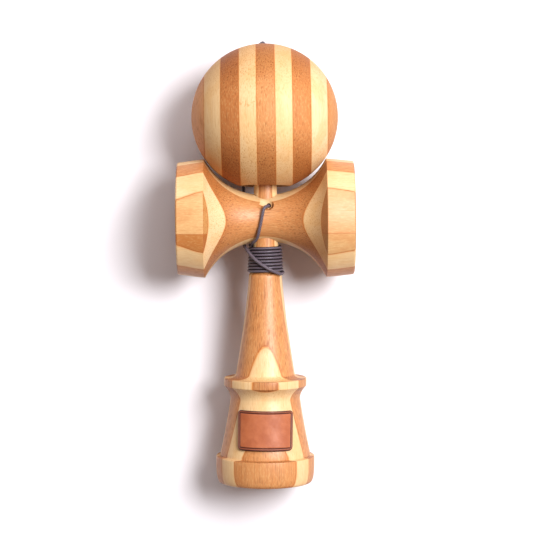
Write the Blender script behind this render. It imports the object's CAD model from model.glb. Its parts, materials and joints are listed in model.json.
# %% [markdown]
# # A laminated bamboo kendama
# A kendama is a cup-and-ball toy. This one is turned from bamboo boards that were glued together
# first, so light and dark bands run through every curve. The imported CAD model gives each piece
# its size and place. Here the pieces get their fine surface and their finish.

# %% Load the frame
import json
import math

import bpy
from mathutils import Matrix, Vector
from mathutils.geometry import interpolate_bezier


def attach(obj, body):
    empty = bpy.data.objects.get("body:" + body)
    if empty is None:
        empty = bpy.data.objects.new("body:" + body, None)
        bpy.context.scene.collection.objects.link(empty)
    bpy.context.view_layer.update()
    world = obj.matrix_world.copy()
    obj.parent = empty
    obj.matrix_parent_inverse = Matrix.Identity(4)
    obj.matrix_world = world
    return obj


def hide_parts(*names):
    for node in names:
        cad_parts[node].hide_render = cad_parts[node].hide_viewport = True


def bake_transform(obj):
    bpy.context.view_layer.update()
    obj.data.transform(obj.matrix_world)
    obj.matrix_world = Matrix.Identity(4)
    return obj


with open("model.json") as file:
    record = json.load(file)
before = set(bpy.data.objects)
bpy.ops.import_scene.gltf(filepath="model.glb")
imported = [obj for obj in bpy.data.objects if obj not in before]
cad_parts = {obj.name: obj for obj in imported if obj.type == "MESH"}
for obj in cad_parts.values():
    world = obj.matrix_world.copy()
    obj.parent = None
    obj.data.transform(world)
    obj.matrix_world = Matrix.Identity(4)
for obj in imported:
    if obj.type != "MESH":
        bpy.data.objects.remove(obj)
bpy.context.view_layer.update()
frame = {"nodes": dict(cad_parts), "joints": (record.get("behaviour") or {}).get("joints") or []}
nodes = frame["nodes"]
scene = bpy.context.scene
bpy.ops.object.select_all(action="DESELECT")
print("loaded", len(nodes), "nodes")

# %% [markdown]
# ## The toy's own axes
# The toy lies on its ball and on the edge of its base, so the ken is tilted a little and the ball
# lies level. Each piece is drawn upright first, with +Z up its grain, and one matrix then lays it
# down. That way every radius and height can be written as a turner would measure it.

# %% Two matrices: one for the ken, one for the ball
MM = 0.001
joints = {joint["name"]: joint for joint in frame["joints"]}
axis = Vector(joints["ball_lift"]["axis"]).normalized()
ball_centre = Vector(joints["ball_spin"]["pos_m"])
along_axis = [axis.dot(vertex.co) for vertex in nodes["ken_core"].data.vertices]
BALL_HEIGHT = axis.dot(ball_centre) - min(along_axis)
foot = ball_centre - axis * BALL_HEIGHT
foot.x = 0.0
tilt = math.atan2(axis.z, axis.y)
lay_ken = Matrix.Translation(foot) @ Matrix.Rotation(tilt - math.pi / 2, 4, "X")
lay_ball = Matrix.Translation(ball_centre) @ Matrix.Rotation(-math.pi / 2, 4, "X")
print("ball centre", round(BALL_HEIGHT / MM, 2), "mm up the ken")
print("tilt", round(math.degrees(tilt), 2), "degrees")

# %% [markdown]
# ## The camera
# The toy is seen from straight above, so the camera needs no turn: an unturned camera in Blender
# looks down its own -Z axis. A wide lens close by would make the ball bulge towards it. A long lens
# from high up shows the ken and the ball nearly in the sizes that they really have.

# %% Camera
CAMERA_HEIGHT = 0.825
LENS = 130.3
camera_data = bpy.data.cameras.new("camera")
camera_data.lens = LENS
camera_data.clip_start = 0.01
camera = bpy.data.objects.new("camera", camera_data)
scene.collection.objects.link(camera)
camera.location = (0.00046, -0.0005, CAMERA_HEIGHT)
camera.rotation_euler = (0.0, 0.0, 0.0)
scene.camera = camera
print("camera", CAMERA_HEIGHT, "m above the table, lens", LENS, "mm")

# %% [markdown]
# ## The light
# A softbox in a studio is a lamp behind a cloth, and a rectangular area lamp gives the same soft
# edge to a shadow. One key lamp at the right throws the shadows to the left, and a weaker one
# beyond the ball opens them up. The world's own dim, warm light stands for the walls of the room.
# One even light from all sides would be simpler, but it would flatten every turned shape.

# %% Sky and lamps
SKY_COLOUR, SKY_STRENGTH = (1.0, 0.82, 0.77, 1.0), 0.24
LAMP_COLOUR = (1.0, 0.98, 1.0)
scene.view_settings.view_transform = "Standard"
world = bpy.data.worlds.new("studio")
scene.world = world
world.use_nodes = True
sky = world.node_tree.nodes["Background"]
sky.inputs["Color"].default_value = SKY_COLOUR
sky.inputs["Strength"].default_value = SKY_STRENGTH


def add_soft_box(name, place, size, power):
    """A rectangular lamp that looks at the middle of the toy."""
    light = bpy.data.lights.new(name, "AREA")
    light.shape = "RECTANGLE"
    light.size, light.size_y = size
    light.energy = power
    light.color = LAMP_COLOUR
    lamp = bpy.data.objects.new(name, light)
    scene.collection.objects.link(lamp)
    lamp.location = place
    towards = Vector((0, 0, 0.02)) - Vector(place)
    lamp.rotation_euler = towards.to_track_quat("-Z", "Y").to_euler()
    print(name, "lamp", power, "W,", round(towards.length, 2), "m away")


add_soft_box("key", (0.48, 0.23, 0.95), (0.45, 0.45), 16.3)
add_soft_box("far side", (0.05, 0.85, 0.75), (0.8, 0.5), 4.3)

# %% [markdown]
# ## The floor
# The table is a plain pale sheet. A white sheet would throw so much light back up that the wood
# would lose its shade underneath. The Light Path node tells the rays apart: a ray from the
# camera, or one that a glossy or clear surface sends on, sees the pale colour, and all other rays
# meet a dimmer and warmer one. The sheet still catches the toy's shadow.

# %% Floor
SEEN_COLOUR, BOUNCED_COLOUR = (0.90, 0.89, 0.92, 1.0), (0.50, 0.37, 0.30, 1.0)
floor_material = bpy.data.materials.new("floor")
floor_material.use_nodes = True
floor_nodes = floor_material.node_tree.nodes
floor_links = floor_material.node_tree.links
floor_shader = floor_nodes["Principled BSDF"]
floor_shader.inputs["Roughness"].default_value = 1.0
floor_shader.inputs["Specular IOR Level"].default_value = 0.0
light_path = floor_nodes.new("ShaderNodeLightPath")
seen = light_path.outputs["Is Camera Ray"]
for ray in ("Is Glossy Ray", "Is Transmission Ray"):
    either = floor_nodes.new("ShaderNodeMath")
    either.operation = "MAXIMUM"
    floor_links.new(seen, either.inputs[0])
    floor_links.new(light_path.outputs[ray], either.inputs[1])
    seen = either.outputs[0]
floor_colour = floor_nodes.new("ShaderNodeMix")
floor_colour.data_type = "RGBA"
floor_colour.inputs["A"].default_value = BOUNCED_COLOUR
floor_colour.inputs["B"].default_value = SEEN_COLOUR
floor_links.new(seen, floor_colour.inputs["Factor"])
floor_links.new(floor_colour.outputs["Result"], floor_shader.inputs["Base Color"])
bpy.ops.mesh.primitive_plane_add(size=6.0)
floor = bpy.context.object
floor.name = "floor"
floor.data.materials.append(floor_material)
bpy.ops.object.select_all(action="DESELECT")
print("floor", round(floor.dimensions.x, 1), "m wide")

# %% [markdown]
# ## Outlines
# A turner cuts an outline with a gouge, in beads, coves and long sweeps. Here an outline is a list
# of points, as radius and height. Typing in every point would give a bumpy curve, so a bead is an
# arc, a sweep is a Bezier curve between two points, and a cup is a part of a sphere.

# %% Arcs, Bezier curves and dishes


def arc(centre, radius, start, end, steps):
    """Points of an arc as (r, z), with its angles in degrees from the +r axis towards +z."""
    points = []
    for i in range(steps + 1):
        angle = math.radians(start + (end - start) * i / steps)
        points.append((centre[0] + radius * math.cos(angle), centre[1] + radius * math.sin(angle)))
    return points


def bezier(first, first_handle, last_handle, last, steps):
    """Points of a Bezier curve as (r, z), both ends among them."""
    corners = [Vector((*point, 0.0)) for point in (first, first_handle, last_handle, last)]
    return [(point.x, point.y) for point in interpolate_bezier(*corners, steps + 1)]


def dish(rim_r, depth, steps):
    """A spherical hollow from its rim to its deepest point, as (r, depth)."""
    sphere_r = (rim_r**2 + depth**2) / (2 * depth)
    widest = math.asin(rim_r / sphere_r)
    points = []
    for i in range(steps + 1):
        angle = widest * (1 - i / steps)
        points.append((sphere_r * math.sin(angle), depth - sphere_r * (1 - math.cos(angle))))
    return points


print("a quarter turn of 10 mm:", [(round(r, 1), round(z, 1)) for r, z in arc((0, 0), 10, 0, 90, 3)])

# %% [markdown]
# ## Picking a piece
# An operator works on whatever is selected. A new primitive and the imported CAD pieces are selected
# too, so it is easy to change more than was meant. Everything is therefore let go first, and then
# one piece is picked.

# %% Letting go and picking


def deselect_all():
    """Leaves edit mode and deselects every object."""
    if bpy.context.object and bpy.context.object.mode != "OBJECT":
        bpy.ops.object.mode_set(mode="OBJECT")
    bpy.ops.object.select_all(action="DESELECT")


def pick(piece):
    """Makes piece the only selected object and the active one."""
    deselect_all()
    piece.select_set(True)
    bpy.context.view_layer.objects.active = piece


deselect_all()
print("selected:", len(bpy.context.selected_objects))

# %% [markdown]
# ## Turning a blank
# On the lathe, the wood spins while the gouge follows its outline. A Screw modifier would do the
# same to a drawn line. Spin in edit mode is closer to the lathe: one vertex is extruded from point
# to point down the outline and carried once round the axis. Merging the doubles closes the seam
# and the poles, and then the normals are made to point outwards.

# %% A blank spun from its outline
TURN_STEPS = 144
DOUBLES, THINNEST = 0.002 * MM, 0.0005 * MM


def turn_blank(name, outline, closed=False, steps=TURN_STEPS):
    """One vertex, extruded down the outline in millimetres and spun round Z."""
    deselect_all()
    bpy.ops.mesh.primitive_plane_add(size=MM)
    blank = bpy.context.object
    blank.name = name
    blank.data.name = name
    bpy.ops.object.mode_set(mode="EDIT")
    bpy.ops.mesh.select_all(action="SELECT")
    bpy.ops.mesh.merge(type="CENTER")
    points = [Vector((r * MM, 0.0, z * MM)) for r, z in outline]
    if closed:
        points.append(points[0])
    bpy.ops.transform.translate(value=points[0])
    for before, after in zip(points, points[1:]):
        bpy.ops.mesh.extrude_region_move(TRANSFORM_OT_translate={"value": after - before})
    bpy.ops.mesh.select_all(action="SELECT")
    bpy.ops.mesh.spin(steps=steps, angle=2 * math.pi, center=(0, 0, 0), axis=(0, 0, 1))
    bpy.ops.mesh.select_all(action="SELECT")
    bpy.ops.mesh.remove_doubles(threshold=DOUBLES)
    bpy.ops.mesh.dissolve_degenerate(threshold=THINNEST)
    bpy.ops.mesh.select_all(action="SELECT")
    bpy.ops.mesh.normals_make_consistent(inside=False)
    bpy.ops.object.mode_set(mode="OBJECT")
    print(name, len(blank.data.polygons), "faces")
    return blank


# %% [markdown]
# ## Boring a hole
# A hole across the turned axis can't be part of the outline, so it is drilled afterwards. A cone is
# the drill: with two equal ends it makes a plain hole, and otherwise a tapered or countersunk one.
# A Boolean modifier takes the drill's shape out of the piece, and then the drill is thrown away.

# %% Drilling


def bore(piece, radius, far_radius, start, direction, length, segments=48):
    """A round or tapered hole, cut with a cone along direction."""
    deselect_all()
    turn = Vector(direction).to_track_quat("Z", "Y")
    middle = Vector(start) + Vector(direction).normalized() * length / 2
    bpy.ops.mesh.primitive_cone_add(
        vertices=segments, radius1=radius * MM, radius2=far_radius * MM, depth=length * MM,
        location=middle * MM, rotation=turn.to_euler())
    drill = bpy.context.object
    cut = piece.modifiers.new("Hole", "BOOLEAN")
    cut.operation = "DIFFERENCE"
    cut.solver = "EXACT"
    cut.object = drill
    pick(piece)
    bpy.ops.object.modifier_apply(modifier=cut.name)
    bpy.data.objects.remove(drill, do_unlink=True)
    print("bored", piece.name, "with a hole", round(2 * radius, 2), "mm wide")


# %% [markdown]
# ## Gluing up and sawing
# The blanks are laminated: every board runs through the whole piece, so the turned curves show it
# as bands and ovals. A blank is copied once for each board and bisected twice, which leaves the
# part of it that lies between two glue lines. Gluing first and turning afterwards is what the
# maker does too, and it is why neighbouring boards fit without a gap.

# %% Where the glue lines lie


def board_limits(core_half, plies, outer):
    """Signed (number, low, high) of the boards that fill -outer..outer round a core."""
    limits = [(0, -core_half, core_half)]
    number, low = 1, core_half
    while low < outer:
        high = low + plies[(number - 1) % len(plies)]
        limits += [(number, low, high), (-number, -high, -low)]
        low = high
        number += 1
    return sorted(limits)


print("boards of 6 mm round a core of 6 mm:", board_limits(3, (6,), 12))

# %% Sawing a board out of a blank


def saw(board, place, normal):
    """Cuts across at place, keeps what lies behind normal and fills the cut.

    Corners within a tenth of a millimetre of the cut stay where they are and count as lying on it.
    So the filled face is uneven by as much, and in a few places its edges don't close.
    """
    pick(board)
    bpy.ops.object.mode_set(mode="EDIT")
    bpy.ops.mesh.select_all(action="SELECT")
    bpy.ops.mesh.bisect(plane_co=place, plane_no=normal, use_fill=True, clear_outer=True)
    bpy.ops.mesh.mark_sharp()
    bpy.ops.object.mode_set(mode="OBJECT")


def cut_board(blank, name, low, high, turn):
    """The part of the blank from low to high along the X axis of turn, in millimetres."""
    pick(blank)
    bpy.ops.object.duplicate()
    board = bpy.context.object
    board.name = name
    board.data.name = name
    across = (turn.to_3x3() @ Vector((1, 0, 0))).normalized()
    reach = [(turn.inverted() @ vertex.co).x / MM for vertex in board.data.vertices]
    if high < max(reach):
        saw(board, turn @ Vector((high * MM, 0, 0)), across)
    if low > min(reach):
        saw(board, turn @ Vector((low * MM, 0, 0)), -across)
    print(name, "sawn from", round(low, 2), "to", round(high, 2), "mm")
    return board


# %% [markdown]
# ## From lumps to finished boards
# A board far from the core can fall into two lumps, such as one at each cup, and each lump is a
# piece of its own. Bamboo looks different where the grain is cut across, so every corner keeps a
# number that says how squarely its face cuts the grain, for the wood's colour to read later. Then
# the piece is laid down with the toy, and shaded smooth everywhere but at its crisp edges.

# %% Lumps, cut ends, laying down and smoothing
CRISP_ANGLE = 32


def lumps(board, direction):
    """The separate lumps of a board as objects of their own, in order along direction."""
    pick(board)
    bpy.ops.mesh.separate(type="LOOSE")
    found = list(bpy.context.selected_objects)

    def along(lump):
        vertices = lump.data.vertices
        return sum(vertex.co.dot(direction) for vertex in vertices) / len(vertices)

    return sorted(found, key=along)


def mark_cut_ends(board, grain):
    """How squarely the surface cuts the grain at each corner, 0 to 1, kept as an attribute."""
    mark = board.data.attributes.new("cut_end", "FLOAT", "CORNER")
    square = [abs(normal.vector.dot(grain)) for normal in board.data.corner_normals]
    mark.data.foreach_set("value", square)


def lay(piece, matrix):
    """Puts a piece drawn upright where it lies, with its place in the mesh."""
    piece.matrix_world = matrix
    pick(piece)
    bpy.ops.object.transform_apply(location=True, rotation=True, scale=True)


def smooth(piece, angle=CRISP_ANGLE):
    """Shades piece smooth, apart from edges sharper than angle in degrees."""
    pick(piece)
    bpy.ops.object.shade_smooth_by_angle(angle=math.radians(angle), keep_sharp_edges=True)


print("edges sharper than", CRISP_ANGLE, "degrees stay crisp")

# %% [markdown]
# ## The ken
# The ken is the handle. From the tip down it has the spike with a slow taper, the neck under the
# string, a slim grip that swells into a flange, a cove, the skirt that carries the patch, and the
# heavy rim round the base cup. It could be joined from cones and rings, but then each joint would
# show as a crease, so it is turned in one go. A hole through the neck, which the crosspiece hides,
# leaves room for the string's knot.

# %% The ken's outline
CROSS_HEIGHT = 109.75
CROSS_HALF = 10.4
HOLE_RISE = 5.4
STRING_HOLE = (1.4, CROSS_HEIGHT + HOLE_RISE)
TIP_R, SPIKE_FOOT_R = 2.3, 4.8
NECK_TOP, NECK_FOOT = 99.2, 87.4
NECK_TOP_R, NECK_FOOT_R = 5.3, 5.95
FLANGE_R, FLANGE_EDGE_R = 16.8, 0.3
SKIRT_TOP, SKIRT_FOOT = 35.1, 12.4
SKIRT_TOP_R, SKIRT_FOOT_R, SKIRT_HOLLOW = 14.45, 18.6, 0.88
BASE_R, BASE_CUP_R, BASE_CUP_DEPTH = 20.45, 16.8, 6.5


def skirt_r(z):
    """The radius of the slightly hollow skirt at height z."""
    share = (SKIRT_TOP - z) / (SKIRT_TOP - SKIRT_FOOT)
    cone = SKIRT_TOP_R + (SKIRT_FOOT_R - SKIRT_TOP_R) * share
    return cone - SKIRT_HOLLOW * share * (1 - share)


def ken_outline():
    """The ken as (r, z) from the spike's tip to the middle of the base cup."""
    # Spike, and the neck that goes through the crosspiece and carries the string.
    tip = BALL_HEIGHT / MM + 8.3
    outline = [(0.0, tip)] + arc((0.0, tip - TIP_R), TIP_R, 84, 10, 10)
    spike_foot = (SPIKE_FOOT_R, CROSS_HEIGHT + CROSS_HALF)
    swell = (4.35, (tip + spike_foot[1]) / 2)
    outline += bezier(outline[-1], swell, swell, spike_foot, 16)[1:]
    neck_foot = (NECK_FOOT_R, NECK_FOOT)
    outline += [(NECK_TOP_R, CROSS_HEIGHT - CROSS_HALF), (NECK_TOP_R, NECK_TOP), neck_foot]
    # Grip.
    shoulder, root = (6.85, 86.1), (12.2, 45.25)
    length = shoulder[1] - root[1]
    outline += bezier(neck_foot, (6.2, 87.2), (6.8, 86.6), shoulder, 4)[1:]
    outline += bezier(shoulder, (7.55, shoulder[1] - 0.28 * length),
                      (9.8, root[1] + 0.36 * length), root, 36)[1:]
    # Flange, cove and skirt.
    outline += bezier(root, (13.1, 43.65), (14.7, 43.45), (16.75, 43.55), 10)[1:]
    outline += arc((FLANGE_R, 43.25), FLANGE_EDGE_R, 80, 0, 4)
    outline += arc((FLANGE_R, 40.5), FLANGE_EDGE_R, 0, -50, 3)
    outline += bezier((16.95, 40.2), (15.8, 39.0), (SKIRT_TOP_R, 37.2), (SKIRT_TOP_R, SKIRT_TOP),
                      12)[1:]
    for i in range(1, 15):
        z = SKIRT_TOP + (SKIRT_FOOT - SKIRT_TOP) * i / 14
        outline.append((skirt_r(z), z))
    # Base rim and base cup.
    outline += [(18.62, 11.5), (18.9, 11.22)] + arc((19.95, 10.6), 0.5, 90, 0, 5)
    outline += bezier((BASE_R, 7.5), (BASE_R, 3.0), (19.9, 0.3), (18.9, 0.04), 12)
    outline += [(18.6, 0.0), (17.2, 0.0)] + dish(BASE_CUP_R, BASE_CUP_DEPTH, 24)
    return outline


ken_blank = turn_blank("ken_blank", ken_outline())

# %% Room for the string's knot
KNOT_ROOM_R = 1.7
bore(ken_blank, KNOT_ROOM_R, KNOT_ROOM_R, (STRING_HOLE[0], -12, STRING_HOLE[1]), (0, 1, 0), 24)

# %% The ken's boards
KEN_CORE_HALF, KEN_PLIES = 3.1, (6.7, 6.15)
KEN_BOARDS_LEAN = math.radians(0.45)
FACE_FRONT = Matrix.Rotation(-math.pi / 2, 4, "Z")
ken_turn = Matrix.Rotation(KEN_BOARDS_LEAN, 4, "X") @ FACE_FRONT


def side_name(number):
    """The name of a board by its place: the core, or how far it is to the front or back."""
    return "core" if number == 0 else f"{'front' if number > 0 else 'back'}_{abs(number)}"


ken_boards = {}
for number, low, high in board_limits(KEN_CORE_HALF, KEN_PLIES, BASE_R):
    name = "ken_" + side_name(number)
    board = cut_board(ken_blank, name + "_wood", low, high, ken_turn)
    for lump, label in zip(lumps(board, Vector((0, 0, 1))), (name, name + "_flange")):
        lay(lump, lay_ken)
        smooth(lump)
        lump.name = lump.data.name = label + "_wood"
        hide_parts(label)
        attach(lump, "ken")
        ken_boards[label] = (number, low, high, lump)
print(len(ken_boards), "pieces in the ken:", ", ".join(ken_boards))

# %% [markdown]
# ## The patch
# A small piece of leather is glued on the skirt. It is cut flat with round corners, its edge is
# rounded over and burnished, a plain line is pressed in all round it, and then it is bent and
# pressed on the cone of the skirt. Cutting it out of the skirt's own surface would be quicker, but
# a flat sheet that is bent keeps its real width and an even thickness.

# %% The leather, cut flat
PATCH_W, PATCH_H, PATCH_CORNER, PATCH_THICK = 22.8, 16.1, 1.6, 1.1
PATCH_HEIGHT, PATCH_GLUE, PATCH_ASKEW = 23.35, 0.15, math.radians(0.6)


def from_edge(x, z):
    """How far inside the patch's rounded outline a point lies, in millimetres."""
    across = abs(x) - (PATCH_W / 2 - PATCH_CORNER)
    up = abs(z) - (PATCH_H / 2 - PATCH_CORNER)
    outside = math.hypot(max(across, 0), max(up, 0))
    return PATCH_CORNER - outside - min(max(across, up), 0)


deselect_all()
bpy.ops.mesh.primitive_plane_add(size=MM, rotation=(math.pi / 2, 0, 0))
patch = bpy.context.object
patch.name = "patch"
patch.data.name = "patch"
patch.scale = (PATCH_W, PATCH_H, 1)
bpy.ops.object.transform_apply(location=True, rotation=True, scale=True)
bpy.ops.object.mode_set(mode="EDIT")
bpy.ops.mesh.select_all(action="SELECT")
bpy.ops.mesh.bevel(offset=PATCH_CORNER * MM, segments=8, affect="VERTICES")
bpy.ops.mesh.select_all(action="SELECT")
for width in (0.08, 0.12, 0.20, 0.50, 0.20, 0.20):
    bpy.ops.mesh.inset(thickness=width * MM)
for across, count, normal in ((PATCH_W, 28, (1, 0, 0)), (PATCH_H, 18, (0, 0, 1))):
    for i in range(1, count):
        place = Vector(normal) * across * (i / count - 0.5) * MM
        bpy.ops.mesh.select_all(action="SELECT")
        bpy.ops.mesh.bisect(plane_co=place, plane_no=normal)
bpy.ops.object.mode_set(mode="OBJECT")
print("patch", PATCH_W, "by", PATCH_H, "mm, flat, with", len(patch.data.polygons), "faces")

# %% [markdown]
# Rubbing darkens the leather's edge, and the tool darkens the line that it presses. How dark it is
# is kept on the faces as a number, and how deep it is pressed on the vertices, as a vertex group.
# Both are measured from the patch's outline while it is still flat, where that is easy.

# %% The leather, burnished and pressed
EDGE_W, EDGE_DROP = 0.4, 1.4
LINE_INSIDE, LINE_W, LINE_DEPTH, LINE_DARK = 1.1, 0.2, 0.22, (0.85, 1.35)
burnish = patch.data.attributes.new("burnish", "FLOAT", "FACE")
for face in patch.data.polygons:
    inside = from_edge(face.center.x / MM, face.center.z / MM)
    if inside < EDGE_W or LINE_DARK[0] < inside < LINE_DARK[1]:
        burnish.data[face.index].value = 1.0
    elif inside < LINE_INSIDE:
        burnish.data[face.index].value = 0.5
pressed = patch.vertex_groups.new(name="pressed")
for vertex in patch.data.vertices:
    inside = from_edge(vertex.co.x / MM, vertex.co.z / MM)
    over_edge = max(0.0, EDGE_W - inside)
    line = max(0.0, 1 - abs(inside - LINE_INSIDE) / LINE_W)
    depth = min(1.0, EDGE_DROP * over_edge**1.7 + LINE_DEPTH * line)
    pressed.add([vertex.index], depth, "REPLACE")
dark = sum(1 for face in burnish.data if face.value > 0.9)
print(dark, "faces burnished dark")

# %% [markdown]
# A Simple Deform modifier bends the sheet round the skirt, roughly. Shrinkwrap then pulls it down
# to one thickness above the cone, Displace sinks the edge and the pressed line, and Solidify gives
# it a back. Solidify comes last, so the leather is equally thick all over.

# %% The leather, bent and laid on the skirt
patch_r = skirt_r(PATCH_HEIGHT) + PATCH_GLUE + PATCH_THICK


def apply(piece, kind, **settings):
    """Adds a modifier with these settings and applies it."""
    pick(piece)
    modifier = piece.modifiers.new(kind.title(), kind)
    for name, value in settings.items():
        setattr(modifier, name, value)
    bpy.ops.object.modifier_apply(modifier=modifier.name)


apply(patch, "SIMPLE_DEFORM", deform_method="BEND", deform_axis="Z", angle=PATCH_W / patch_r)
pick(patch)
patch.location = (0, -(patch_r + 4) * MM, PATCH_HEIGHT * MM)
patch.rotation_euler.y = PATCH_ASKEW
bpy.ops.object.transform_apply(location=True, rotation=True, scale=True)
apply(patch, "SHRINKWRAP", target=ken_blank, wrap_method="PROJECT", wrap_mode="ABOVE_SURFACE",
      use_project_y=True, use_project_x=False, use_project_z=False,
      use_positive_direction=True, use_negative_direction=False,
      offset=(PATCH_GLUE + PATCH_THICK) * MM)
apply(patch, "DISPLACE", strength=-MM, mid_level=0.0, vertex_group="pressed")
apply(patch, "SOLIDIFY", thickness=PATCH_THICK * MM, offset=-1.0)
lay(patch, lay_ken)
smooth(patch, 50)
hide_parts("leather_patch")
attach(patch, "ken")
bpy.data.objects.remove(ken_blank, do_unlink=True)
print("patch", len(patch.data.polygons), "faces")

# %% [markdown]
# ## The crosspiece
# One short blank makes both side cups. It is turned between its two ends, so it has a narrow
# waist, two flares that end in a crisp edge, and a dished cup in each end. The flare could be one
# Bezier curve, but a formula in powers of the distance makes it the same on both sides of the waist.

# %% The crosspiece's outline
WAIST_R, CROSS_EDGE_R, CROSS_EDGE_X = 9.5, 24.5, 25.1
LIP_ROUND = 0.9
# For each cup: how far out its rim is, the rim's radius, the lip's width and the cup's depth.
SMALL_CUP, BIG_CUP = (36.55, 23.5, 2.4, 8.8), (36.35, 23.2, 2.0, 9.5)


def flare_r(x):
    """The crosspiece's radius at x between its two crisp edges."""
    share = (x / CROSS_EDGE_X) ** 2
    return WAIST_R + (CROSS_EDGE_R - WAIST_R) * (0.73 * share + 0.27 * share**3)


def cup_half(rim_x, rim_r, lip, depth):
    """From the crisp edge over the rounded lip to the middle of the cup."""
    outline = arc((24.2, 25.3), 0.3, -70, 10, 3)
    outline += bezier((24.45, 25.4), (24.3, 28.5), (rim_r + 0.35, rim_x - 4.5),
                      (rim_r, rim_x - LIP_ROUND), 10)
    outline += arc((rim_r - LIP_ROUND, rim_x - LIP_ROUND), LIP_ROUND, 8, 90, 8)
    cup = dish(rim_r - lip, depth, 26)
    outline.append((cup[0][0] + 0.15, rim_x))
    outline += [(r, rim_x - down) for r, down in cup[1:]]
    return outline


def cross_outline():
    """The crosspiece as (r, x) from the small cup to the big one."""
    flare = []
    for i in range(1, 64):
        x = 25.0 * (1 - i / 32)
        flare.append((flare_r(x), x))
    return cup_half(*SMALL_CUP)[::-1] + flare + [(r, -x) for r, x in cup_half(*BIG_CUP)]


cross_centre = Matrix.Translation((0, 0, CROSS_HEIGHT * MM))
CROSS_YAW = math.radians(0.4)
lay_along_x = cross_centre @ Matrix.Rotation(math.pi / 2 - CROSS_YAW, 4, "Y")
cross_blank = turn_blank("cross_blank", cross_outline())
lay(cross_blank, lay_along_x)

# %% [markdown]
# ## The crosspiece's holes
# The spike goes through a bore with the same taper as the ken, which keeps the crosspiece from
# sliding further down. The string comes out through a small hole, and it has rubbed a funnel at the
# mouth, more to one side. The funnel is one wide cone that is drilled askew.

# %% The bore and the string's hole
BORE_R, BORE_HALF, BORE_STEPS = 5.2, 15.6, 96
widening = (NECK_TOP_R - SPIKE_FOOT_R) / (2 * CROSS_HALF) * BORE_HALF
bore(cross_blank, BORE_R + widening, BORE_R - widening, (0, 0, CROSS_HEIGHT - BORE_HALF),
     (0, 0, 1), 2 * BORE_HALF, BORE_STEPS)
HOLE_R = 0.95
FUNNEL_FOOT_R, FUNNEL_R, FUNNEL_LENGTH, FUNNEL_SUNK = 0.90, 4.6, 3.6, 1.7
bore(cross_blank, HOLE_R, HOLE_R, (STRING_HOLE[0], 0, STRING_HOLE[1]), (0, -1, 0), 19)
hole_depth = math.sqrt(flare_r(STRING_HOLE[0]) ** 2 - HOLE_RISE**2)
hole_mouth = Vector((STRING_HOLE[0], -hole_depth, STRING_HOLE[1]))
outward = Vector((0, -hole_depth, HOLE_RISE)).normalized()
rubbed = (outward + Vector((-0.62, 0, 0.45))).normalized()
bore(cross_blank, FUNNEL_FOOT_R, FUNNEL_R, hole_mouth - rubbed * FUNNEL_SUNK, rubbed,
     FUNNEL_LENGTH, 64)

# %% The crosspiece's boards
CROSS_CORE_HALF, CROSS_PLIES = 6.5, (7.5, 6.75)
CROSS_BOARDS_TURN, CROSS_BOARDS_LEAN = math.radians(0.8), math.radians(1.6)
cross_yaw = Matrix.Rotation(-CROSS_YAW, 4, "Y") @ Matrix.Rotation(CROSS_BOARDS_TURN, 4, "Z")
cross_turn = cross_centre @ cross_yaw @ Matrix.Rotation(CROSS_BOARDS_LEAN, 4, "X") @ FACE_FRONT
cross_boards = {}
for number, low, high in board_limits(CROSS_CORE_HALF, CROSS_PLIES, CROSS_EDGE_R):
    name = "crosspiece_" + side_name(number)
    board = cut_board(cross_blank, name + "_wood", low, high, cross_turn)
    found = lumps(board, Vector((1, 0, 0)))
    labels = [name] if len(found) == 1 else [name + "_big_cup", name + "_small_cup"]
    for lump, label in zip(found, labels):
        lay(lump, lay_ken)
        smooth(lump)
        lump.name = lump.data.name = label + "_wood"
        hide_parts(label)
        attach(lump, "ken")
        cross_boards[label] = (number, low, high, lump)
bpy.data.objects.remove(cross_blank, do_unlink=True)
print(len(cross_boards), "pieces in the crosspiece:", ", ".join(cross_boards))

# %% [markdown]
# ## The ball
# The ball is turned from nine boards with its grain running from the bore to the string hole.
# The bore's mouth is bevelled so that it slides onto the spike, and the string hole at the far
# pole is countersunk. Both holes lie on the axis that the ball is turned round, so they are part
# of one closed outline, and nothing has to be drilled.

# %% The ball's outline
BALL_R = 30.2
MOUTH_R, BORE_WIDE_R, BORE_TOP = 10.5, 9.0, 20.0
BALL_HOLE_R, BALL_SINK_R = 1.2, 2.4
BALL_CORE_HALF, BALL_PLIES, BALL_OFF_CENTRE = 3.73, (6.95, 7.46), 0.5


def ball_outline():
    """The ball as (r, z), from the sink of its top hole round to the bore and back up inside."""
    mouth_z = -math.sqrt(BALL_R**2 - MOUTH_R**2)
    top = math.degrees(math.acos(BALL_SINK_R / BALL_R))
    foot = -math.degrees(math.acos(MOUTH_R / BALL_R))
    outline = arc((0, 0), BALL_R, top, foot, 96)
    outline += [(10.1, mouth_z + 0.25), (9.3, mouth_z + 1.1), (BORE_WIDE_R, mouth_z + 1.6)]
    outline += [(BORE_WIDE_R, BORE_TOP - 1.5), (7.5, BORE_TOP), (BALL_HOLE_R, BORE_TOP)]
    return outline + [(BALL_HOLE_R, 29.0), (1.35, 29.0)]


ball_blank = turn_blank("ball_blank", ball_outline(), closed=True)

# %% The ball's boards
BALL_BOARDS_LEAN = math.radians(-0.8)
ball_turn = Matrix.Rotation(BALL_BOARDS_LEAN, 4, "Y")
ball_boards = {}
limits = board_limits(BALL_CORE_HALF, BALL_PLIES, BALL_R + BALL_OFF_CENTRE)
for i, (number, low, high) in enumerate(limits, 1):
    low, high = low + BALL_OFF_CENTRE, high + BALL_OFF_CENTRE
    name = f"ball_ply_{i}"
    board = cut_board(ball_blank, name + "_wood", low, high, ball_turn)
    lay(board, lay_ball)
    smooth(board)
    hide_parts(name)
    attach(board, "ball")
    ball_boards[name] = (number, low, high, board)
bpy.data.objects.remove(ball_blank, do_unlink=True)
print(len(ball_boards), "boards in the ball")

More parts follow.
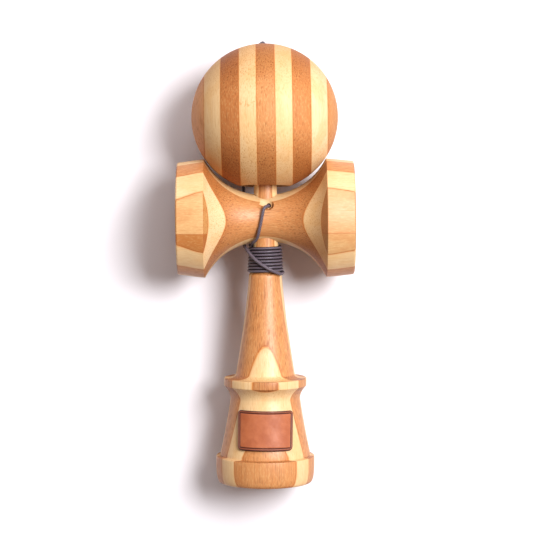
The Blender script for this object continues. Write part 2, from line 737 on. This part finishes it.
# %% [markdown]
# ## The string
# A thin braided cord. It is knotted inside the ken, comes out of the crosspiece's hole, goes down
# to the neck and round it side by side, then crosses over its own turns, passes behind the
# waist and the ball, and goes in through the ball's top hole to a bead and a knot. Where it runs
# free, its points are laid by hand, because it sags and leans as it likes. The turns are regular,
# so a loop lays them.

# %% The parts laid by hand
# Metres in the ken's own frame: across, towards the back, up the ken.
FROM_THE_HOLE = (
    (0.0014, -0.0018, 0.11515), (0.0014, -0.0036, 0.1149), (0.0014, -0.0052, 0.1149),
    (0.0014, -0.0070, 0.1150), (0.0013, -0.0088, 0.1151), (0.0004, -0.0099, 0.1150),
    (-0.0006, -0.0104, 0.1141), (-0.0011, -0.0106, 0.1121), (-0.0017, -0.0105, 0.1090),
    (-0.0025, -0.0099, 0.1052), (-0.0032, -0.0084, 0.1023), (-0.0042, -0.0069, 0.1007),
    (-0.0052, -0.0053, 0.0999),
)
OVER_THE_TURNS = (
    (0.0063, -0.00535, 0.0870), (0.0047, -0.0068, 0.0876), (0.0026, -0.00785, 0.08855),
    (0.0003, -0.0082, 0.08985), (-0.0020, -0.00795, 0.0913), (-0.0042, -0.0070, 0.09305),
    (-0.0060, -0.0055, 0.0949), (-0.0073, -0.0036, 0.0964), (-0.0081, -0.0013, 0.0975),
    (-0.0086, 0.0012, 0.09785),
    (-0.0088, 0.0038, 0.0984), (-0.0089, 0.0069, 0.0999), (-0.0090, 0.0097, 0.1026),
    (-0.00905, 0.0116, 0.1062), (-0.0091, 0.0134, 0.1104), (-0.0092, 0.0163, 0.1164),
    (-0.0093, 0.0193, 0.1228), (-0.00962, 0.02223, 0.12979), (-0.01014, 0.0251, 0.13592),
    (-0.01065, 0.02754, 0.14162), (-0.01086, 0.02918, 0.14875), (-0.01056, 0.02882, 0.15675),
    (-0.00955, 0.02655, 0.16498), (-0.00764, 0.02192, 0.17256), (-0.00522, 0.01552, 0.17793),
    (-0.00281, 0.00897, 0.18105), (-0.0014, 0.0051, 0.18206), (-0.00074, 0.00317, 0.18184),
    (-0.00029, 0.00196, 0.18036), (-0.00029, 0.00165, 0.17584), (-0.00029, 0.00137, 0.17172),
    (-0.00029, 0.00095, 0.1660), (-0.00029, 0.00078, 0.1638),
)
print(len(FROM_THE_HOLE), "points before the turns and", len(OVER_THE_TURNS), "after them")

# %% The turns round the neck
STRING_R = 0.65
TURNS_TOP, TURNS_FOOT, TURNS_GAP = 98.65, 87.3, 0.25
TURNS_START, TURNS_STOP, TURNS_STEP = 212.0, -2.0 - 360 * 8, 15


def turns_round_neck():
    """The helix round the neck, clockwise seen from the spike, with its ends lifted a little."""
    count = round((TURNS_START - TURNS_STOP) / TURNS_STEP)
    lift_points, first_lift, last_lift = 8, 0.25, 0.45
    points = []
    for i in range(count + 1):
        share = i / count
        angle = math.radians(TURNS_START + (TURNS_STOP - TURNS_START) * share)
        height = TURNS_TOP + (TURNS_FOOT - TURNS_TOP) * share
        down = (NECK_TOP - height) / (NECK_TOP - NECK_FOOT)
        radius = NECK_TOP_R + (NECK_FOOT_R - NECK_TOP_R) * down + TURNS_GAP + STRING_R
        if i < lift_points:
            radius += first_lift * (1 - i / lift_points) ** 2
        if count - i < lift_points:
            radius += last_lift * (1 - (count - i) / lift_points) ** 2
        points.append(Vector((radius * math.cos(angle), radius * math.sin(angle), height)) * MM)
    return points


print(round((TURNS_START - TURNS_STOP) / 360, 1), "turns,", len(turns_round_neck()), "points")

# %% [markdown]
# A Catmull-Rom curve passes through each of its points, as a string does that is held there. It is
# the same as a Bezier curve whose handles are a sixth as long as the step between a point's two
# neighbours. The curve is then divided evenly, so that the braid on it isn't stretched anywhere.

# %% One smooth route


def smooth_route(knots, spacing):
    """Evenly spaced points of a Catmull-Rom curve through the route's own points."""
    ends = [2 * knots[0] - knots[1]] + knots + [2 * knots[-1] - knots[-2]]
    fine = []
    for before, a, b, after in zip(ends, ends[1:], ends[2:], ends[3:]):
        fine += interpolate_bezier(a, a + (b - before) / 6, b - (after - a) / 6, b, 17)[:-1]
    fine.append(knots[-1])
    lengths = [0.0]
    for a, b in zip(fine, fine[1:]):
        lengths.append(lengths[-1] + (b - a).length)
    count = round(lengths[-1] / spacing)
    spaced, at = [], 0
    for i in range(count + 1):
        wanted = lengths[-1] * i / count
        while at < len(lengths) - 2 and lengths[at + 1] < wanted:
            at += 1
        share = (wanted - lengths[at]) / (lengths[at + 1] - lengths[at])
        spaced.append(fine[at].lerp(fine[at + 1], share))
    return spaced, lengths[-1]


knots = [Vector(point) for point in FROM_THE_HOLE] + turns_round_neck()
knots += [Vector(point) for point in OVER_THE_TURNS]
route, string_length = smooth_route([lay_ken @ knot for knot in knots], 0.9 * MM)
print("string", round(string_length / MM), "mm long,", len(route), "points")

# %% [markdown]
# ## From route to cord
# A curve with a round bevel is a cord already. It is turned into a mesh, because only a mesh can
# keep a number at each corner. The conversion makes a UV map that runs once along the cord and once
# round it. Here it is scaled to count the braid's strands, so they are as large on the knots as on
# the string.

# %% The string as a tube
BRAID_STRANDS, BRAID_CELL = 6, 0.75 * MM


def tube(name, points, radius, closed=False, resolution=3):
    """A round cord along the points, as a curve with a bevel converted to a mesh."""
    curve = bpy.data.curves.new(name, "CURVE")
    curve.dimensions = "3D"
    curve.bevel_depth = radius
    curve.bevel_resolution = resolution
    curve.use_fill_caps = not closed
    spline = curve.splines.new("POLY")
    spline.use_cyclic_u = closed
    spline.points.add(len(points) - 1)
    for made, point in zip(spline.points, points):
        made.co = (*point, 1.0)
    cord = bpy.data.objects.new(name, curve)
    scene.collection.objects.link(cord)
    pick(cord)
    bpy.ops.object.convert(target="MESH")
    bpy.ops.object.shade_smooth()
    cord.data.name = name
    length = sum((b - a).length for a, b in zip(points, points[1:] + points[:1] * closed))
    for corner in cord.data.uv_layers["UVMap"].data:
        corner.uv = (corner.uv.x * round(length / BRAID_CELL), corner.uv.y * BRAID_STRANDS)
    return cord


string = tube("string", route, STRING_R * MM)
print("string", len(string.data.polygons), "faces, UV map", string.data.uv_layers[0].name)
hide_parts("string_lead", "string_winding", "string_cross_run", "string_ball_run")

# %% [markdown]
# ## The bead
# A wooden bead inside the ball stops the string from pulling through the top hole. It is turned
# from a closed outline, like the ball, so that its hole is part of it.

# %% The bead
BEAD_TOP, BEAD_LENGTH = 19.7, 5.4


def bead_outline():
    """The bead as a closed outline, bored through."""
    top, foot = BEAD_TOP, BEAD_TOP - BEAD_LENGTH
    outline = [(0.95, top - 0.1), (1.15, top)]
    outline += bezier((2.3, top), (3.9, top - 0.3), (3.9, foot + 0.3), (2.3, foot), 24)
    return outline + [(1.15, foot), (0.95, foot + 0.1)]


bead = turn_blank("bead", bead_outline(), closed=True, steps=64)
lay(bead, lay_ball)
smooth(bead)
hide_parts("string_bead")
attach(bead, "string_end")

# %% [markdown]
# ## The knots
# An overhand knot holds the bead, and a smaller one inside the spike holds the other end. An
# overhand knot with its ends joined is a trefoil, and a trefoil has a short formula. Drawn tight
# and small, it is a lump of crossing strands, and its missing ends don't show.

# %% The knots
END_KNOT_R, START_KNOT_R, KNOT_GAP = 1.6, 1.3, 0.06


def knot_path(radius, place):
    """The line of an overhand knot, drawn tight round place."""
    line_r = radius - STRING_R
    points = []
    for i in range(72):
        turn = 2 * math.pi * i / 72
        out = line_r * (0.66 + 0.34 * math.cos(3 * turn))
        points.append(Vector((out * math.cos(2 * turn), out * math.sin(2 * turn),
                              0.45 * math.sin(3 * turn))) * MM + Vector(place) * MM)
    return points


under_bead = (0, 0, BEAD_TOP - BEAD_LENGTH - KNOT_GAP - END_KNOT_R)
end_knot = tube("end_knot", knot_path(END_KNOT_R, under_bead), STRING_R * MM, True, 2)
lay(end_knot, lay_ball)
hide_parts("string_end_knot")
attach(end_knot, "string_end")
behind_hole = (STRING_HOLE[0], -1.8, STRING_HOLE[1])
start_knot = tube("start_knot", knot_path(START_KNOT_R, behind_hole), STRING_R * MM, True, 2)
lay(start_knot, lay_ken)
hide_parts("string_start_knot")
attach(start_knot, "ken")
print("knots of", len(end_knot.data.polygons), "and", len(start_knot.data.polygons), "faces")

# %% [markdown]
# ## Between the turns
# Dirt and shade gather in the grooves between the turns, and light alone leaves them too pale. So
# each corner of the string there keeps a number that says how far its face leans towards the next
# turn, and the cord's colour reads it.

# %% The grooves
TURNS_LOW, TURNS_HIGH, TURNS_R = 0.0865, 0.0995, 0.00775
groove = string.data.attributes.new("groove", "FLOAT", "CORNER")
into_ken = lay_ken.inverted()
depths = []
for loop, normal in zip(string.data.loops, string.data.corner_normals):
    spot = into_ken @ string.data.vertices[loop.vertex_index].co
    sideways = abs((into_ken.to_3x3() @ normal.vector).z)
    in_turns = TURNS_LOW < spot.z < TURNS_HIGH and math.hypot(spot.x, spot.y) < TURNS_R
    depths.append(sideways if in_turns else 0.0)
groove.data.foreach_set("value", depths)
print(sum(1 for depth in depths if depth > 0), "corners lie in the turns")

# %% [markdown]
# ## When the ball is lifted
# The string belongs to the ken at one end and to the ball at the other. Between the waist and the
# ball's widest place it stretches when the ball is lifted, where a real one would unwind from the
# neck. Its real length and thickness are declared with it.

# %% How the string follows the ball
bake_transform(string)

# %% [markdown]
# ## Bamboo
# Bamboo has no rings. It is pale flesh with thin, dark fibre bundles that all run one way: along
# the grain they show as fine streaks, and where the lathe cuts across them they show as dots.
# Long narrow Voronoi cells give both, because the surface cuts the same bundles at every angle.
# Steamed boards are brown and plain ones are straw-coloured. Painting each board would take longer
# and wouldn't run through the wood. One node group makes all of it from a few named values, and
# each board has its own.

# %% Groups and sockets


def new_group(name, inputs, outputs):
    """A node group with the given (name, kind, value) inputs and (name, kind) outputs."""
    tree = bpy.data.node_groups.new(name, "ShaderNodeTree")
    for label, kind, value in inputs:
        made = tree.interface.new_socket(label, in_out="INPUT", socket_type="NodeSocket" + kind)
        if value is not None:
            made.default_value = value
    for label, kind in outputs:
        tree.interface.new_socket(label, in_out="OUTPUT", socket_type="NodeSocket" + kind)
    return tree, tree.nodes.new("NodeGroupInput"), tree.nodes.new("NodeGroupOutput")


def plug(tree, socket, value):
    """Joins a socket to another node's output, or sets it to a plain value."""
    if isinstance(value, bpy.types.NodeSocket):
        tree.links.new(value, socket)
    else:
        socket.default_value = value


print("node groups so far:", len(bpy.data.node_groups))

# %% [markdown]
# Node trees get long when every node takes four lines. These helpers each make one kind of node and
# give back its output, so a pattern can be written as a sum. Noise and Voronoi are one unit wide
# by themselves, and stretching the coordinates first makes them long along the grain.

# %% Sums, noise, ramps and mixes


def maths(tree, operation, a, b=0.5, c=None):
    """One sum of two or three numbers or sockets."""
    node = tree.nodes.new("ShaderNodeMath")
    node.operation = operation
    plug(tree, node.inputs[0], a)
    plug(tree, node.inputs[1], b)
    if c is not None:
        plug(tree, node.inputs[2], c)
    return node.outputs[0]


def stretched(tree, vector, scale, shift=None):
    """The coordinates divided up into long cells: scale is cells per millimetre on each axis."""
    node = tree.nodes.new("ShaderNodeVectorMath")
    node.operation = "MULTIPLY_ADD"
    plug(tree, node.inputs[0], vector)
    node.inputs[1].default_value = scale
    if shift is not None:
        plug(tree, node.inputs[2], shift)
    return node.outputs[0]


def noise(tree, vector, detail=2.0, roughness=0.5):
    """Smooth noise with one lump in each unit of vector."""
    node = tree.nodes.new("ShaderNodeTexNoise")
    node.inputs["Scale"].default_value = 1.0
    node.inputs["Detail"].default_value = detail
    node.inputs["Roughness"].default_value = roughness
    plug(tree, node.inputs["Vector"], vector)
    return node.outputs["Fac"]


def ramp(tree, value, low, high, start=0.0, stop=1.0):
    """Value from low to high, smoothly turned into start to stop."""
    node = tree.nodes.new("ShaderNodeMapRange")
    node.interpolation_type = "SMOOTHSTEP"
    plug(tree, node.inputs["Value"], value)
    limits = {"From Min": low, "From Max": high, "To Min": start, "To Max": stop}
    for label, number in limits.items():
        plug(tree, node.inputs[label], number)
    return node.outputs["Result"]


def mixed(tree, share, a, b, blend="MIX"):
    """The colour a with this share of b blended in."""
    node = tree.nodes.new("ShaderNodeMix")
    node.data_type = "RGBA"
    node.blend_type = blend
    plug(tree, node.inputs["Factor"], share)
    plug(tree, node.inputs["A"], a)
    plug(tree, node.inputs["B"], b)
    return node.outputs["Result"]


# %% The bamboo effect


def make_bamboo():
    """Flesh, fibre bundles, warm patches, edge joints, a node and the glue lines of one board.

    Millimetres: X is through the board, Y across its strips and Z along the grain."""
    tree, given, result = new_group("bamboo", (
        ("Vector", "Vector", None), ("Seed", "Float", 0.0), ("Flesh", "Color", None),
        ("Fibre", "Color", None), ("Warm", "Color", None), ("Glue", "Color", None),
        ("Strip", "Color", None), ("Joint", "Float", 90.0), ("Node", "Float", 500.0),
        ("End Tint", "Color", None), ("Cut End", "Float", 0.0), ("Satin", "Float", 0.5),
        ("Fibre Share", "Float", 0.5), ("Warm Share", "Float", 0.3),
        ("Low", "Float", -3.0), ("High", "Float", 3.0)),
        (("Color", "Color"), ("Roughness", "Float"), ("Height", "Float")))
    get = given.outputs
    place = get["Vector"]
    shift = tree.nodes.new("ShaderNodeCombineXYZ")
    for label, pace in (("X", 7.3), ("Y", 11.9), ("Z", 5.1)):
        plug(tree, shift.inputs[label], maths(tree, "MULTIPLY", get["Seed"], pace))
    shift = shift.outputs[0]
    split = tree.nodes.new("ShaderNodeSeparateXYZ")
    plug(tree, split.inputs[0], place)

    # Nothing in the cane is quite straight, so the pattern sways across the grain.
    wander = noise(tree, stretched(tree, place, (0.10, 0.10, 0.05), shift), 1.0)
    sway = tree.nodes.new("ShaderNodeCombineXYZ")
    plug(tree, sway.inputs["X"], wander)
    plug(tree, sway.inputs["Y"], wander)
    bent = stretched(tree, sway.outputs[0], (1.8, 1.8, 0.0), place)

    # Fibre bundles: one in each cell, of its own strength, fading in and out along the grain.
    bundles = tree.nodes.new("ShaderNodeTexVoronoi")
    bundles.voronoi_dimensions = "2D"
    bundles.inputs["Scale"].default_value = 1.0
    bundles.inputs["Randomness"].default_value = 0.9
    plug(tree, bundles.inputs["Vector"], stretched(tree, bent, (1.5, 1.5, 0.0), shift))
    dot = ramp(tree, bundles.outputs["Distance"], 0.46, 0.14)
    own = tree.nodes.new("ShaderNodeSeparateColor")
    plug(tree, own.inputs[0], bundles.outputs["Color"])
    strength = ramp(tree, own.outputs["Red"], 0.0, 1.0, 0.30, 1.0)
    gaps = noise(tree, stretched(tree, place, (0.9, 0.9, 0.24), shift))
    fade = ramp(tree, gaps, 0.35, 0.6, 0.3, 1.0)
    fibre = maths(tree, "MULTIPLY", maths(tree, "MULTIPLY", dot, strength), fade)
    streak = noise(tree, stretched(tree, bent, (2.6, 2.6, 0.16), shift), 3.0, 0.65)
    thread = ramp(tree, streak, 0.44, 0.70)
    fibre = maths(tree, "MULTIPLY_ADD", thread, 0.30, fibre)
    flecks = noise(tree, stretched(tree, place, (3.3, 3.3, 0.60), shift))
    pale = maths(tree, "MULTIPLY", ramp(tree, flecks, 0.50, 0.66), 0.15)

    # The flesh: a second strip past the edge joint, warm clouds, pale flecks, and darker cut ends.
    cloud = noise(tree, stretched(tree, place, (0.16, 0.16, 0.06), shift))
    warm = maths(tree, "MULTIPLY", ramp(tree, cloud, 0.44, 0.66), get["Warm Share"])
    past_joint = ramp(tree, maths(tree, "SUBTRACT", split.outputs["Y"], get["Joint"]), -0.12, 0.12)
    colour = mixed(tree, past_joint, get["Flesh"], get["Strip"])
    colour = mixed(tree, warm, colour, get["Warm"])
    colour = mixed(tree, pale, colour, (1.0, 0.74, 0.30, 1.0), "SCREEN")
    cut = ramp(tree, get["Cut End"], 0.20, 0.75)
    share = maths(tree, "MULTIPLY", get["Fibre Share"], maths(tree, "MULTIPLY_ADD", cut, 0.9, 0.9))
    colour = mixed(tree, maths(tree, "MULTIPLY", fibre, share), colour, get["Fibre"])
    colour = mixed(tree, cut, colour, get["End Tint"], "MULTIPLY")

    # A node, where the cane had a joint and its fibres swirl.
    off_node = maths(tree, "ABSOLUTE", maths(tree, "SUBTRACT", split.outputs["Z"], get["Node"]))
    swirl = noise(tree, stretched(tree, place, (1.3, 1.3, 0.9), shift), 3.0, 0.6)
    knot = maths(tree, "MULTIPLY", ramp(tree, off_node, 3.6, 0.4), ramp(tree, swirl, 0.50, 0.68))
    colour = mixed(tree, maths(tree, "MULTIPLY", knot, 0.75), colour, get["Fibre"])

    # Glue: a thin dark line, and the wood that it has soaked into.
    from_low = maths(tree, "ABSOLUTE", maths(tree, "SUBTRACT", split.outputs["X"], get["Low"]))
    from_high = maths(tree, "ABSOLUTE", maths(tree, "SUBTRACT", split.outputs["X"], get["High"]))
    off_joint = maths(tree, "ABSOLUTE", maths(tree, "SUBTRACT", split.outputs["Y"], get["Joint"]))
    nearest = maths(tree, "MINIMUM", maths(tree, "MINIMUM", from_low, from_high),
                    maths(tree, "ADD", off_joint, 0.06))
    line = ramp(tree, nearest, 0.20, 0.05, 0.0, 0.85)
    soaked = ramp(tree, nearest, 0.50, 0.0, 0.0, 0.40)
    colour = mixed(tree, maths(tree, "MAXIMUM", line, soaked), colour, get["Glue"])

    plug(tree, result.inputs["Color"], colour)
    plug(tree, result.inputs["Roughness"], maths(tree, "MULTIPLY_ADD", fibre, 0.10, get["Satin"]))
    sunk = maths(tree, "MULTIPLY", fibre, -1.0)
    plug(tree, result.inputs["Height"], maths(tree, "MULTIPLY_ADD", line, -0.8, sunk))
    return tree


bamboo = make_bamboo()
print("bamboo effect:", len(bamboo.nodes), "nodes")

# %% [markdown]
# ## A finish for each board
# All boards could share two materials, one brown and one straw-coloured. But then a streak in one
# board would go on in the next, as if they were one plank. Each board therefore has a material of
# its own, with its own seed, its glue lines, and the direction of its grain.

# %% Materials and where they read their place


def new_material(name):
    """A material with its node tree and its Principled shader."""
    material = bpy.data.materials.new(name)
    material.use_nodes = True
    tree = material.node_tree
    return material, tree, tree.nodes["Principled BSDF"]


def object_place(tree, matrix):
    """Object coordinates in millimetres, turned by the inverse of matrix."""
    scale = 1 / MM
    coordinates = tree.nodes.new("ShaderNodeTexCoord")
    mapping = tree.nodes.new("ShaderNodeMapping")
    back = matrix.inverted()
    mapping.inputs["Scale"].default_value = (scale,) * 3
    mapping.inputs["Rotation"].default_value = back.to_euler()
    mapping.inputs["Location"].default_value = back.translation * scale
    tree.links.new(coordinates.outputs["Object"], mapping.inputs["Vector"])
    return mapping.outputs["Vector"]


def attribute(tree, name):
    """The value of an attribute that a piece's mesh carries."""
    node = tree.nodes.new("ShaderNodeAttribute")
    node.attribute_name = name
    return node.outputs["Fac"]


def dress(piece, material, tree, shader, look):
    """Shows a look's colour and roughness, and puts the material on the piece."""
    for label, socket in (("Color", "Base Color"), ("Roughness", "Roughness")):
        tree.links.new(look.outputs[label], shader.inputs[socket])
    piece.data.materials.clear()
    piece.data.materials.append(material)


def add_group(tree, group, values):
    """A node that uses a group, with these values or sockets plugged into it."""
    node = tree.nodes.new("ShaderNodeGroup")
    node.node_tree = group
    for label, value in values.items():
        plug(tree, node.inputs[label], value)
    return node


def add_bump(tree, shader, height, distance, strength):
    """Relief from a height socket, distance metres deep."""
    bump = tree.nodes.new("ShaderNodeBump")
    bump.inputs["Distance"].default_value = distance
    bump.inputs["Strength"].default_value = strength
    tree.links.new(height, bump.inputs["Height"])
    tree.links.new(bump.outputs["Normal"], shader.inputs["Normal"])


print("materials so far:", [material.name for material in bpy.data.materials])

# %% The two kinds of bamboo
STRAW = {"Flesh": (0.80, 0.55, 0.28, 1), "Strip": (0.72, 0.40, 0.14, 1),
         "Fibre": (0.55, 0.27, 0.08, 1), "Warm": (0.76, 0.43, 0.15, 1),
         "Glue": (0.60, 0.21, 0.035, 1), "End Tint": (0.90, 0.84, 0.78, 1),
         "Fibre Share": 0.36, "Warm Share": 0.40}
BROWN = {"Flesh": (0.60, 0.260, 0.088, 1), "Strip": (0.50, 0.19, 0.05, 1),
         "Fibre": (0.24, 0.068, 0.014, 1), "Warm": (0.54, 0.19, 0.05, 1),
         "Glue": (0.42, 0.115, 0.018, 1), "End Tint": (0.76, 0.66, 0.53, 1),
         "Fibre Share": 0.48, "Warm Share": 0.40}


def finish_board(board, wood, frame_matrix, low, high, seed, satin, shine, own):
    """Gives a board its bamboo, with the glue lines at low and high and the grain along Z."""
    mark_cut_ends(board, frame_matrix.to_3x3() @ Vector((0, 0, 1)))
    material, tree, shader = new_material(board.name.replace("_wood", "_bamboo"))
    look = add_group(tree, bamboo, {
        **wood, **own, "Vector": object_place(tree, frame_matrix), "Seed": seed, "Satin": satin,
        "Low": low, "High": high, "Cut End": attribute(tree, "cut_end")})
    shader.inputs["Specular IOR Level"].default_value = shine
    add_bump(tree, shader, look.outputs["Height"], 0.06 * MM, 0.5)
    dress(board, material, tree, shader, look)


print("straw and brown flesh:", STRAW["Flesh"][:3], BROWN["Flesh"][:3])

# %% Every board gets its bamboo
# What sets single boards apart: their own tone, an edge joint between two strips, or a node.
OWN = {
    "crosspiece_front_2_big_cup": {"End Tint": (1.0, 1.03, 1.10, 1)},
    "crosspiece_front_2_small_cup": {"End Tint": (0.95, 0.90, 0.85, 1)},
    "crosspiece_front_3_big_cup": {
        "Flesh": (0.72, 0.41, 0.165, 1), "Joint": 4.7,
        "Fibre": (0.50, 0.19, 0.045, 1), "Strip": (0.50, 0.18, 0.04, 1)},
    "ken_front_1": {"Fibre Share": 0.62},
    "ken_front_3": {"Fibre Share": 0.50},
    "ken_front_3_flange": {"Flesh": (0.52, 0.215, 0.072, 1), "Fibre Share": 0.8},
    "crosspiece_front_3_small_cup": {
        "Flesh": (0.72, 0.36, 0.155, 1), "Joint": 4.7,
        "Fibre": (0.56, 0.26, 0.08, 1), "Strip": (0.66, 0.385, 0.16, 1)},
    "ball_ply_1": {"Flesh": (0.76, 0.37, 0.16, 1)},
    "ball_ply_3": {"Flesh": (0.49, 0.175, 0.050, 1), "Fibre Share": 0.60},
    "ball_ply_4": {"Node": 3.0, "Fibre Share": 0.55},
    "ball_ply_7": {"Flesh": (0.55, 0.215, 0.066, 1)},
    "ball_ply_8": {"Flesh": (0.82, 0.60, 0.34, 1)},
}
GRAIN_ALONG_X = Matrix.Rotation(-math.pi / 2, 4, "X")
SEED_STEP = 1.7
seed = 0.0
for boards, place, odd, even, satin, shine in (
        (ken_boards, lay_ken @ ken_turn, BROWN, STRAW, 0.42, 0.55),
        (cross_boards, lay_ken @ cross_turn @ GRAIN_ALONG_X, BROWN, STRAW, 0.44, 0.55),
        (ball_boards, lay_ball @ ball_turn, STRAW, BROWN, 0.55, 0.25)):
    for label, (number, low, high, board) in boards.items():
        seed += SEED_STEP
        finish_board(board, odd if number % 2 else even, place, low, high, seed, satin, shine,
                     OWN.get(label, {}))
print(round(seed / SEED_STEP), "boards finished,", len(OWN), "of them with a look of their own")

# %% [markdown]
# ## The braid
# The cord is braided, so its surface is a lattice of small slanting strands. Modelling them would
# take very many faces, for a relief of less than a tenth of a millimetre. Two sine waves that slant
# opposite ways give the same lattice when they are multiplied, as the dark lines of both stay dark.

# %% The braid effect


def make_braid():
    """Crossing strands round a cord, from its UVs, which count the strands along and round it."""
    tree, given, result = new_group("braid", (
        ("Vector", "Vector", None), ("Strand", "Color", None), ("Gap", "Color", None),
        ("Groove", "Float", 0.0)),
        (("Color", "Color"), ("Height", "Float")))
    split = tree.nodes.new("ShaderNodeSeparateXYZ")
    plug(tree, split.inputs[0], given.outputs["Vector"])
    along, round_it = split.outputs["X"], split.outputs["Y"]
    ways = []
    for slant in ("ADD", "SUBTRACT"):
        turns = maths(tree, slant, round_it, along)
        ways.append(maths(tree, "SINE", maths(tree, "MULTIPLY", turns, math.pi)))
    over = maths(tree, "MULTIPLY", *ways)
    strand = ramp(tree, maths(tree, "ABSOLUTE", over), 0.02, 0.5)
    lit = ramp(tree, given.outputs["Groove"], 0.30, 0.80, 1.0, 0.0)
    clean = maths(tree, "MULTIPLY", strand, lit)
    plug(tree, result.inputs["Color"],
         mixed(tree, clean, given.outputs["Gap"], given.outputs["Strand"]))
    plug(tree, result.inputs["Height"], strand)
    return tree


braid = make_braid()
print("braid effect:", len(braid.nodes), "nodes")

# %% [markdown]
# ## The leather
# The patch is vegetable-tanned: a fine pebbled grain, a little shine, and a dark burnished edge. The
# pebbles are Voronoi cells, whose borders are the creases, and large soft noise shades the hide.

# %% The leather effect


def make_leather():
    """A hide of two cloudy tones with pebbled grain, and darker where it is burnished."""
    tree, given, result = new_group("leather", (
        ("Vector", "Vector", None), ("Hide", "Color", None), ("Shade", "Color", None),
        ("Burnished", "Color", None), ("Burnish", "Float", 0.0)),
        (("Color", "Color"), ("Roughness", "Float"), ("Height", "Float")))
    pebbles = tree.nodes.new("ShaderNodeTexVoronoi")
    pebbles.feature = "DISTANCE_TO_EDGE"
    pebbles.inputs["Scale"].default_value = 2.6
    plug(tree, pebbles.inputs["Vector"], given.outputs["Vector"])
    crease = ramp(tree, pebbles.outputs["Distance"], 0.0, 0.14)
    cloud = noise(tree, stretched(tree, given.outputs["Vector"], (0.22, 0.22, 0.22)), 4.0, 0.6)
    tone = ramp(tree, cloud, 0.32, 0.68)
    colour = mixed(tree, tone, given.outputs["Shade"], given.outputs["Hide"])
    creased = maths(tree, "MULTIPLY_ADD", crease, -0.22, 0.22)
    dark = mixed(tree, creased, colour, given.outputs["Shade"])
    plug(tree, result.inputs["Color"],
         mixed(tree, given.outputs["Burnish"], dark, given.outputs["Burnished"]))
    plug(tree, result.inputs["Roughness"], maths(tree, "MULTIPLY_ADD", tone, -0.1, 0.48))
    plug(tree, result.inputs["Height"], crease)
    return tree


leather = make_leather()
print("leather effect:", len(leather.nodes), "nodes")

# %% [markdown]
# ## Cord, bead and patch
# The cord's pattern follows its own UV map, because the cord winds in every direction. The bead is
# plain beech, which the bamboo effect gives with soft colours and glue lines far outside. The
# patch reads the burnish that was kept on its faces.

# %% The cord's material
cord_material, tree, shader = new_material("waxed_cord")
cord_uv = tree.nodes.new("ShaderNodeUVMap")
cord_uv.uv_map = "UVMap"
strands = add_group(tree, braid, {
    "Vector": cord_uv.outputs["UV"], "Groove": attribute(tree, "groove"),
    "Strand": (0.165, 0.131, 0.168, 1), "Gap": (0.010, 0.006, 0.009, 1)})
tree.links.new(strands.outputs["Color"], shader.inputs["Base Color"])
shader.inputs["Roughness"].default_value = 0.33
add_bump(tree, shader, strands.outputs["Height"], 0.08 * MM, 0.8)
for piece in (string, end_knot, start_knot):
    piece.data.materials.clear()
    piece.data.materials.append(cord_material)
print("waxed cord on", string.name, end_knot.name, "and", start_knot.name)

# %% The bead's and the patch's materials
bead_material, tree, shader = new_material("bead_beech")
look = add_group(tree, bamboo, {
    "Vector": object_place(tree, lay_ball), "Seed": 4.0, "Low": -50.0, "High": 50.0,
    "Flesh": (0.66, 0.42, 0.22, 1), "Fibre": (0.42, 0.22, 0.10, 1),
    "Warm": (0.60, 0.34, 0.16, 1), "Glue": (0.5, 0.3, 0.14, 1), "Strip": (0.66, 0.42, 0.22, 1)})
dress(bead, bead_material, tree, shader, look)

patch_material, tree, shader = new_material("patch_leather")
look = add_group(tree, leather, {
    "Vector": object_place(tree, lay_ken), "Burnish": attribute(tree, "burnish"),
    "Hide": (0.48, 0.140, 0.048, 1), "Shade": (0.39, 0.098, 0.029, 1),
    "Burnished": (0.060, 0.009, 0.007, 1)})
add_bump(tree, shader, look.outputs["Height"], 0.08 * MM, 0.5)
dress(patch, patch_material, tree, shader, look)
print(len(bpy.data.materials), "materials")
